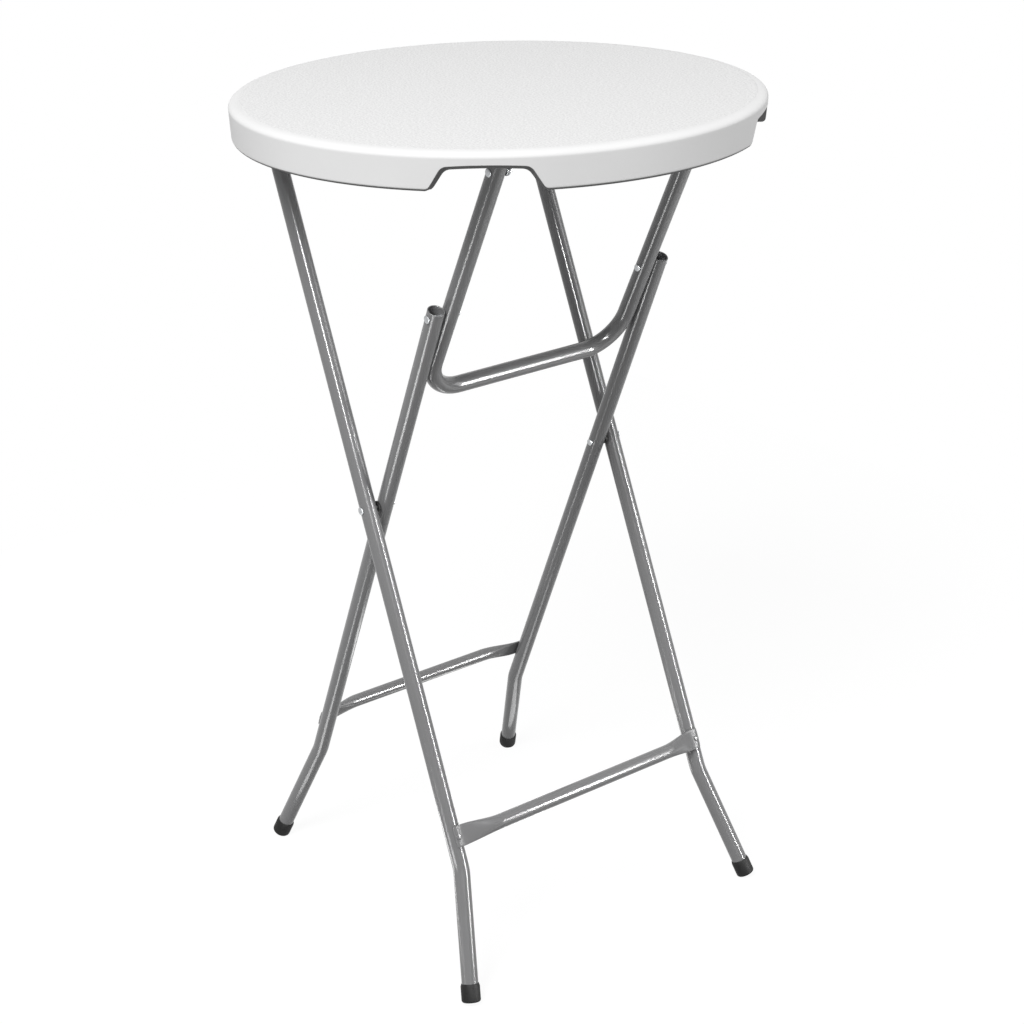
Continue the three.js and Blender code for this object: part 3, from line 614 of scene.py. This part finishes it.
def pocket_cutter():
    """Cones that cut the pockets, from over a little below the panel up to their floors."""
    over = 4 * MM
    slope = (POCKET_MOUTH - POCKET_FLOOR) / POCKET_DEPTH
    profile = [
        (0, -over),
        (POCKET_MOUTH + slope * over, -over),
        (POCKET_FLOOR + POCKET_ROUNDING / 2, POCKET_DEPTH - POCKET_ROUNDING),
        (POCKET_FLOOR - POCKET_ROUNDING, POCKET_DEPTH),
        (0, POCKET_DEPTH),
    ]
    points, faces = [], []
    for x, y in pocket_places():
        base = len(points)
        cone_points, cone_faces = turned(profile, POCKET_FACETS)
        points += [p + Vector((x, y, UNDERSIDE)) for p in cone_points]
        faces += [tuple(base + i for i in face) for face in cone_faces]
    return new_object("pocket_cutter", points, faces)


def table_top():
    """The moulded top: its section skinned all round, with the pockets cut out of it."""
    rings = []
    for angle in top_columns():
        out = Vector((math.cos(angle), math.sin(angle)))
        rings.append([Vector((p.x * out.x, p.x * out.y, p.y)) for p in top_profile(angle)])
    points, faces = skin(rings, closed=True)
    count = len(rings[0])
    # Two flat faces take the place of those that join the ends of each section
    faces = [face for i, face in enumerate(faces) if i % count != count - 1]
    faces.append(tuple(i * count for i in range(len(rings))))
    faces.append(tuple(i * count + count - 1 for i in range(len(rings) - 1, -1, -1)))
    made = new_object("table_top_look", points, faces)
    cutter = pocket_cutter()
    clean_mesh(made.data)
    clean_mesh(cutter.data)
    cut = made.modifiers.new("pockets", "BOOLEAN")
    cut.operation = "DIFFERENCE"
    cut.solver = "EXACT"
    cut.object = cutter
    bpy.context.view_layer.update()
    graph = bpy.context.evaluated_depsgraph_get()
    result = bpy.data.meshes.new_from_object(made.evaluated_get(graph))
    made.modifiers.clear()
    made.data = result
    bpy.data.objects.remove(cutter)
    finish_piece(made, "table_top", angle=30)


# The tubes
def leg_plan(pivot_z, lean, bend_z, flare, width, end_margin, pivot_down):
    """Upper end, bend and lower end of a leg in its frame's plane, and where its cap ends."""
    cap_radius = TUBE + GAP + CAP_WALL
    tilt_cosine = math.cos(lean) * math.cos(flare)
    cap_z = cap_radius * math.sqrt(1 - tilt_cosine**2) - CAP_FLAT
    lower = (bend_z - cap_z) / tilt_cosine
    along = Vector((math.sin(flare), -math.cos(flare)))
    bend_down = (pivot_z - bend_z) / math.cos(lean)
    top_down = pivot_down - end_margin
    upper = Vector((width(top_down), -top_down))
    bend = Vector((width(bend_down), -bend_down))
    cap_bottom = bend + along * lower
    return upper, bend, cap_bottom - along * (CAP_BASE + GAP), cap_bottom


def foot_cap(node, place, bottom, tilt):
    """A rounded cap, cut level where it meets the floor."""
    inner = TUBE + GAP
    outer = inner + CAP_WALL
    top = CAP_BASE + CAP_SLEEVE
    profile = [
        (0, 0),
        *arc(outer - CAP_ROUNDING, CAP_ROUNDING, CAP_ROUNDING, -QUARTER, 0, steps=8),
        (outer, top - CAP_ROUNDING),
        (outer - CAP_ROUNDING / 4, top - CAP_ROUNDING / 4),
        (outer - CAP_ROUNDING / 3, top),
        (inner + EDGE, top),
        (inner, top - EDGE),
        (inner, CAP_BASE),
        (0, CAP_BASE),
    ]
    local = Matrix.Translation((0, bottom.x, bottom.y)) @ Matrix.Rotation(tilt, 4, "X")
    made = new_object(node + "_look", *turned(profile), place @ local)
    level = bmesh.new()
    level.from_mesh(made.data)
    bmesh.ops.remove_doubles(level, verts=level.verts, dist=1e-7)
    everything = level.verts[:] + level.edges[:] + level.faces[:]
    bmesh.ops.bisect_plane(
        level, geom=everything, plane_co=(0, 0, 0), plane_no=(0, 0, 1), clear_inner=True
    )
    bmesh.ops.holes_fill(level, edges=[e for e in level.edges if e.is_boundary])
    level.to_mesh(made.data)
    level.free()
    finish_piece(made, node)


def pressed_half_height(radius):
    """Half the height of a tube pressed flat, which keeps its girth."""
    half = PRESSED / 2
    return half + math.pi * (radius - half) / 2


def bar_ring(y, n, turn, half_thickness, half_height, face):
    """One section of a crossbar, n out from the legs' plane on the side that it faces."""
    ring = []
    straight = half_height - half_thickness
    for j in range(TUBE_FACETS):
        angle = face * 2 * math.pi * j / TUBE_FACETS
        across = half_thickness * math.cos(angle)
        stretch = max(-1, min(1, PRESSED_SHARPNESS * math.sin(angle)))
        height = half_thickness * math.sin(angle) + straight * stretch
        out = face * (n + across * math.cos(turn))
        ring.append(Vector((out, y + across * math.sin(turn), height)))
    return ring


def crossbar(node, place, leg_y, radius, down, face):
    """A tube with its ends pressed flat where they cross the legs and curled round them."""
    half = PRESSED / 2
    wrap = TUBE + GAP + half
    offset = TUBE + 2 * GAP + radius
    flat = pressed_half_height(radius)
    stations = []
    for i in range(WRAP_STEPS, 0, -1):
        share = i / WRAP_STEPS
        turn = PRESSED_WRAP * share
        y = leg_y + wrap * math.sin(turn)
        n = wrap * math.cos(turn)
        narrowing = 1 - (1 - PRESSED_TIP_SHARE) * max(0.0, 3 * share - 2) ** 2
        thick = half * (PRESSED_TIP_THINNING if i == WRAP_STEPS else 1)
        stations.append((y, n, turn, thick, flat * narrowing))
    stations.append((leg_y, wrap, 0, half, flat))
    for i in range(TAPER_STEPS + 1):
        t = i / TAPER_STEPS
        ease = t * t * (3 - 2 * t)
        n = wrap + (offset - wrap) * ease
        thick = half + (radius - half) * ease
        high = flat + (radius - flat) * ease
        stations.append((leg_y - PRESSED_FLAT - PRESSED_TAPER * t, n, 0, thick, high))
    mirrored = [(-y, n, -turn, thick, high) for y, n, turn, thick, high in reversed(stations)]
    rings = [bar_ring(*station, face) for station in [*stations, *mirrored]]
    add_piece(node, skin(rings), place @ Matrix.Translation((0, 0, -down)), angle=50)


# Fasteners stand on Z with their heads up, and are laid where they belong by a matrix
def dome(radius, height):
    """The outline of a low rounded head, from its rim up to its middle."""
    edge = 0.35 * height
    steps = 9
    curve = [(radius, 0), (radius, edge)]
    for i in range(1, steps):
        a = QUARTER * i / steps
        curve.append((radius * math.cos(a), edge + (height - edge) * math.sin(a)))
    return [*curve, (0, height)]


def add_fastener(node, profile, place):
    add_piece(node, turned(profile, FASTENER_FACETS), place)


def pin_profile(radius, head, head_height, length, tail=0.0, tail_height=0.0):
    """A pin that hangs from a head at height 0, and may have a wider tail below its length."""
    profile = [(0, -length - tail_height)]
    if tail:
        corner = tail_height * 0.3
        profile.append((tail - corner, -length - tail_height))
        profile.append((tail, -length - tail_height + corner))
        profile.append((tail, -length))
    return [*profile, (radius, -length), (radius, 0), *dome(head, head_height)]


def rod_profile(radius, length):
    return [
        (0, 0),
        (radius - EDGE, 0),
        (radius, EDGE),
        (radius, length - EDGE),
        (radius - EDGE, length),
        (0, length),
    ]


def ring_profile(inner, outer, thickness):
    edge = 0.15 * thickness
    return [
        (inner, 0),
        (outer - edge, 0),
        (outer, edge),
        (outer, thickness - edge),
        (outer - edge, thickness),
        (inner, thickness),
    ]


def laid(pivot, y, side, towards=1):
    """Lays a fastener on a pivot's line, y from the middle, head out, or head in for -1."""
    place = Matrix.Translation((pivot.x, side * y, pivot.z))
    return place @ Matrix.Rotation(-side * towards * QUARTER, 4, "X")


def leg_frame(prefix, place, plan, lean, pivot_z, bar_radius, bar_z, face):
    """A pair of legs with their caps, crossbar and rivets."""
    upper, bend, lower, cap_bottom = plan
    down = (pivot_z - bar_z) / math.cos(lean)
    share = (down + upper.y) / (-bend.y + upper.y)
    leg_y = upper.x + (bend.x - upper.x) * share
    flare = math.atan2(lower.x - bend.x, bend.y - lower.y)
    seat = TUBE + PRESSED + 2 * GAP
    tail_seat = math.sqrt((TUBE - TUBE_WALL) ** 2 - RIVET_TAIL**2) - 2 * GAP
    grip = seat - tail_seat
    rivet = pin_profile(RIVET, RIVET_HEAD, RIVET_HEAD_HEIGHT, grip, RIVET_TAIL, RIVET_TAIL_LENGTH)
    turn = Matrix.Rotation(face * QUARTER, 4, "Y")
    for word, side in SIDES:
        corners = [(side * p.x, p.y) for p in (upper, bend, lower)]
        leg = hollow_tube(path_stations(corners, FOOT_BEND, FOOT_BEND_STEPS))
        add_piece(f"{prefix}_leg_{word}", leg, place)
        bottom = Vector((side * cap_bottom.x, cap_bottom.y))
        foot_cap(f"{prefix}_foot_cap_{word}", place, bottom, side * flare)
        lay = Matrix.Translation((face * seat, side * leg_y, -down)) @ turn
        add_fastener(f"{prefix}_crossbar_rivet_{word}", rivet, place @ lay)
    crossbar(f"{prefix}_crossbar", place, leg_y, bar_radius, down, face)


def folding_brace():
    """The U of the brace, its two ends on the hinge and its bar below the knee."""
    upper = brace_width(-HINGE_END)
    lower = brace_width(BRACE_REACH)
    corners = [
        (-upper, HINGE_END),
        (-lower, -BRACE_REACH),
        (lower, -BRACE_REACH),
        (upper, HINGE_END),
    ]
    tube = hollow_tube(path_stations(corners, BRACE_BEND, BRACE_BEND_STEPS))
    add_piece("folding_brace", tube, BRACE_PLACE)


def joint_fasteners():
    """Rivets of the crossing and the knee, and the crossing's spacers."""
    crossing_seat = OUTER_Y + TUBE + GAP
    leg_inside = INNER_Y - TUBE - GAP
    leg_outside = INNER_Y + TUBE + GAP
    brace_inside = BRACE_Y - TUBE - GAP
    long_grip = crossing_seat - leg_inside
    short_grip = leg_outside - brace_inside
    long_rivet = pin_profile(PIN, PIN_HEAD, TALL_HEAD, long_grip, PIN_TAIL, PIN_TAIL_HEIGHT)
    short_rivet = pin_profile(PIN, PIN_HEAD, LOW_HEAD, short_grip, PIN_TAIL, PIN_TAIL_HEIGHT)
    spacer = ring_profile(PIN + GAP, WASHER, CROSSING_GAP - 2 * GAP)
    for word, side in SIDES:
        add_fastener(f"crossing_rivet_{word}", long_rivet, laid(CROSSING, crossing_seat, side))
        add_fastener(f"crossing_spacer_{word}", spacer, laid(CROSSING, leg_outside, side))
        add_fastener(f"knee_rivet_{word}", short_rivet, laid(KNEE, leg_outside, side))


def hinge_fasteners(name, pivot, width, halved):
    """The fasteners of one pair of brackets. A halved bolt ends inside its tube."""
    ear_outer = width - TUBE - HINGE_GAP
    head_seat = width + TUBE + GAP
    nut_seat = ear_outer - BRACKET_SHEET - GAP
    bolt_end = nut_seat - NUT_HEIGHT - THREAD_TAIL
    washer_top = ear_outer + HINGE_GAP - GAP
    screw_y = ear_outer - BRACKET_FLANGE / 2 - BRACKET_SHEET
    screw_z = UNDERSIDE - BRACKET_SHEET - 2 * GAP
    head_end = width - TUBE if halved else bolt_end
    bolt = pin_profile(PIN, PIN_HEAD, LOW_HEAD, head_seat - head_end)
    stud = rod_profile(PIN, washer_top - bolt_end)
    washer = ring_profile(PIN + GAP, WASHER, HINGE_GAP - 2 * GAP)
    screw = pin_profile(SCREW, SCREW_HEAD, SCREW_HEAD_HEIGHT, SCREW_LENGTH)
    head_down = Matrix.Rotation(math.pi, 4, "X")
    for word, side in SIDES:
        add_fastener(f"{name}_bolt_{word}", bolt, laid(pivot, head_seat, side))
        if halved:
            add_fastener(f"{name}_stud_{word}", stud, laid(pivot, bolt_end, side))
        add_fastener(f"{name}_washer_{word}", washer, laid(pivot, ear_outer + GAP, side))
        hex_nut(f"{name}_nut_{word}", laid(pivot, nut_seat, side, -1))
        for index, end in ((1, -1), (2, 1)):
            at = (pivot.x + end * SCREW_SPACING / 2, side * screw_y, screw_z)
            place = Matrix.Translation(at) @ head_down
            add_fastener(f"{name}_screw_{word}_{index}", screw, place)


def hex_nut(node, place):
    """A nut whose corners are turned down at both faces."""
    flat = NUT_WIDTH / 2
    bore = PIN + GAP
    turned_down = NUT_CHAMFER_SHARE * flat
    # Where no radius is given, the section is the nut's six-sided one
    levels = (
        (bore, 0),
        (turned_down, 0),
        (None, NUT_CHAMFER),
        (None, NUT_HEIGHT - NUT_CHAMFER),
        (turned_down, NUT_HEIGHT),
        (bore, NUT_HEIGHT),
    )
    rings = []
    for radius, z in levels:
        ring = []
        for j in range(NUT_FACETS):
            a = 2 * math.pi * j / NUT_FACETS
            off_flat = (a + math.pi / 6) % (math.pi / 3) - math.pi / 6
            r = flat / math.cos(off_flat) if radius is None else radius
            ring.append(Vector((r * math.cos(a), r * math.sin(a), z)))
        rings.append(ring)
    add_piece(node, skin(rings, closed=True), place, angle=25)


table_top()
outer_plan = leg_plan(
    OUTER_HINGE.z, OUTER_LEAN, OUTER_BEND_Z, OUTER_FLARE, outer_width, HINGE_END, 0
)
leg_frame("outer", OUTER_PLACE, outer_plan, OUTER_LEAN, OUTER_HINGE.z, OUTER_BAR, OUTER_BAR_Z, 1)
inner_plan = leg_plan(
    CROSSING.z, INNER_LEAN, INNER_BEND_Z, INNER_FLARE, inner_width, KNEE_END, -TO_KNEE
)
leg_frame("inner", INNER_PLACE, inner_plan, INNER_LEAN, CROSSING.z, INNER_BAR, INNER_BAR_Z, -1)
folding_brace()
joint_fasteners()
hinge_fasteners("leg_hinge", OUTER_HINGE, outer_width(0), halved=True)
hinge_fasteners("brace_hinge", BRACE_HINGE, brace_width(0), halved=False)

# The brackets are shown as they come from the CAD, with broken edges and their own finish
for name, piece in frame["nodes"].items():
    if "_bracket_" in name:
        piece.data.materials.clear()
        piece.data.materials.append(LOOKS["zinc_steel"])
        bevel = piece.modifiers.new("edges", "BEVEL")
        bevel.width = 0.4 * MM
        bevel.segments = 2
        bevel.limit_method = "ANGLE"
        bevel.angle_limit = math.radians(40)


# Studio: a pale floor and room that show as white, and soft lights
def background_share(nodes, links, most):
    """The share of white that camera, glossy and transmission rays see, and 0 for the others."""
    path = nodes.new("ShaderNodeLightPath")
    share = path.outputs["Is Camera Ray"]
    for word in ("Is Glossy Ray", "Is Transmission Ray"):
        either = nodes.new("ShaderNodeMath")
        either.operation = "MAXIMUM"
        links.new(share, either.inputs[0])
        links.new(path.outputs[word], either.inputs[1])
        share = either.outputs["Value"]
    lessened = nodes.new("ShaderNodeMath")
    lessened.operation = "MULTIPLY"
    lessened.inputs[1].default_value = most
    links.new(share, lessened.inputs[0])
    return lessened.outputs["Value"]


def pale_floor():
    material = bpy.data.materials.new("floor_look")
    material.use_nodes = True
    nodes, links = material.node_tree.nodes, material.node_tree.links
    nodes.clear()
    out = nodes.new("ShaderNodeOutputMaterial")
    mix = nodes.new("ShaderNodeMixShader")
    plain = nodes.new("ShaderNodeBsdfDiffuse")
    white = nodes.new("ShaderNodeEmission")
    plain.inputs["Color"].default_value = (*FLOOR_COLOUR, 1)
    # The floor's own share keeps the shadow, and both together come out white
    white.inputs["Strength"].default_value = FLOOR_WHITE
    links.new(background_share(nodes, links, WHITE_SHARE), mix.inputs["Fac"])
    links.new(plain.outputs["BSDF"], mix.inputs[1])
    links.new(white.outputs["Emission"], mix.inputs[2])
    # From underneath the floor isn't there, so that the underside can be looked at
    geometry = nodes.new("ShaderNodeNewGeometry")
    clear = nodes.new("ShaderNodeBsdfTransparent")
    sides = nodes.new("ShaderNodeMixShader")
    links.new(geometry.outputs["Backfacing"], sides.inputs["Fac"])
    links.new(mix.outputs["Shader"], sides.inputs[1])
    links.new(clear.outputs["BSDF"], sides.inputs[2])
    links.new(sides.outputs["Shader"], out.inputs["Surface"])
    corners = [(-1, -1, 0), (1, -1, 0), (1, 1, 0), (-1, 1, 0)]
    floor = new_object("floor", corners, [(0, 1, 2, 3)], Matrix.Scale(FLOOR_HALF, 4))
    floor.location.z = -0.5 * MM
    floor.data.materials.append(material)


def pale_room():
    world = bpy.data.worlds.new("studio")
    bpy.context.scene.world = world
    world.use_nodes = True
    nodes, links = world.node_tree.nodes, world.node_tree.links
    nodes.clear()
    out = nodes.new("ShaderNodeOutputWorld")
    mix = nodes.new("ShaderNodeMixShader")
    room = nodes.new("ShaderNodeBackground")
    room.inputs["Strength"].default_value = ROOM_LEVEL
    backdrop = nodes.new("ShaderNodeBackground")
    backdrop.inputs["Strength"].default_value = 1
    for node in (room, backdrop):
        node.inputs["Color"].default_value = (1, 1, 1, 1)
    links.new(background_share(nodes, links, 1), mix.inputs["Fac"])
    links.new(room.outputs["Background"], mix.inputs[1])
    links.new(backdrop.outputs["Background"], mix.inputs[2])
    links.new(mix.outputs["Shader"], out.inputs["Surface"])


def area_light(name, place, target, across, size_x, size_y, power, gloss_only=False):
    """A soft light whose width lies across. A gloss light only shows in the gloss of the tubes."""
    light = bpy.data.lights.new(name, "AREA")
    light.shape = "RECTANGLE"
    light.size = size_x
    light.size_y = size_y
    light.energy = power
    made = bpy.data.objects.new(name, light)
    bpy.context.scene.collection.objects.link(made)
    back = (Vector(place) - Vector(target)).normalized()
    along = back.cross(Vector(across)).normalized()
    turn = Matrix((along.cross(back), along, back)).transposed()
    made.matrix_world = Matrix.Translation(place) @ turn.to_4x4()
    made.visible_camera = False
    made.visible_diffuse = not gloss_only
    if gloss_only:
        made.light_linking.receiver_collection = SHINY


def low_light(name, x, y, across, size_x, size_y, power):
    """A gloss light that faces up from just over the floor."""
    height = 4 * MM
    place = (x, y, height)
    area_light(name, place, (x, y, 1), across, size_x, size_y, power, gloss_only=True)


FLOOR_COLOUR = (0.35, 0.35, 0.35)
FLOOR_HALF = 1.5
WHITE_SHARE = 0.75
FLOOR_WHITE = 1.25
ROOM_LEVEL = 0.27
pale_floor()
pale_room()

# The lamps, in metres and watts, aimed at the middle of the table or level at its legs
LEVEL = (0, 0, 0.8)
STRIP_PLACE = (2.6, 1.62, 0.85)
STRIP_TARGET = (0, 0, STRIP_PLACE[2])
area_light("key", (2.1, -4.1, 5.84), LEVEL, (4.1, 2.1, 0), 2.66, 2.66, 402)
area_light("fill_right", (2.2, 2.6, 1.6), LEVEL, (-2.6, 2.2, 0), 1.2, 1.8, 34)
area_light("strip_right", STRIP_PLACE, STRIP_TARGET, (-1.6, 2.6, 0), 0.26, 1.5, 120, gloss_only=True)
area_light("strip_front", (2.4, -1.3, 2.15), LEVEL, (1.3, 2.4, 0), 0.2, 0.95, 105, gloss_only=True)
low_light("low_strip", 0.19, -0.92, (1, 0.26, 0), 0.26, 0.55, 6)
low_light("low_left", -0.085, -0.365, (0.21, 0.27, 0), 0.08, 0.34, 0.65)
low_light("low_right", -0.12, 0.12, (0.12, 0.18, 0), 0.08, 0.3, 0.35)
low_light("low_card", 1.0, 0.75, (1, 0.26, 0), 1.2, 1.6, 7)

# The camera, as fitted to points of the photo: its turn is a spin about one axis
LENS = 75.02
SENSOR = 36
CAMERA_PLACE = (2.0632, -1.5412, 1.6331)
CAMERA_SPIN = Vector((1.8196638559825964, 0.8842090110252403, -0.6131937635540083))
camera_data = bpy.data.cameras.new("camera")
camera_data.lens = LENS
camera_data.sensor_width = SENSOR
camera = bpy.data.objects.new("camera", camera_data)
bpy.context.scene.collection.objects.link(camera)
to_camera = Matrix.Rotation(CAMERA_SPIN.length, 3, CAMERA_SPIN.normalized())
columns = Matrix((to_camera[0], -to_camera[1], -to_camera[2])).transposed()
camera.matrix_world = Matrix.Translation(CAMERA_PLACE) @ columns.to_4x4()
bpy.context.scene.camera = camera
bpy.context.scene.view_settings.view_transform = "Standard"
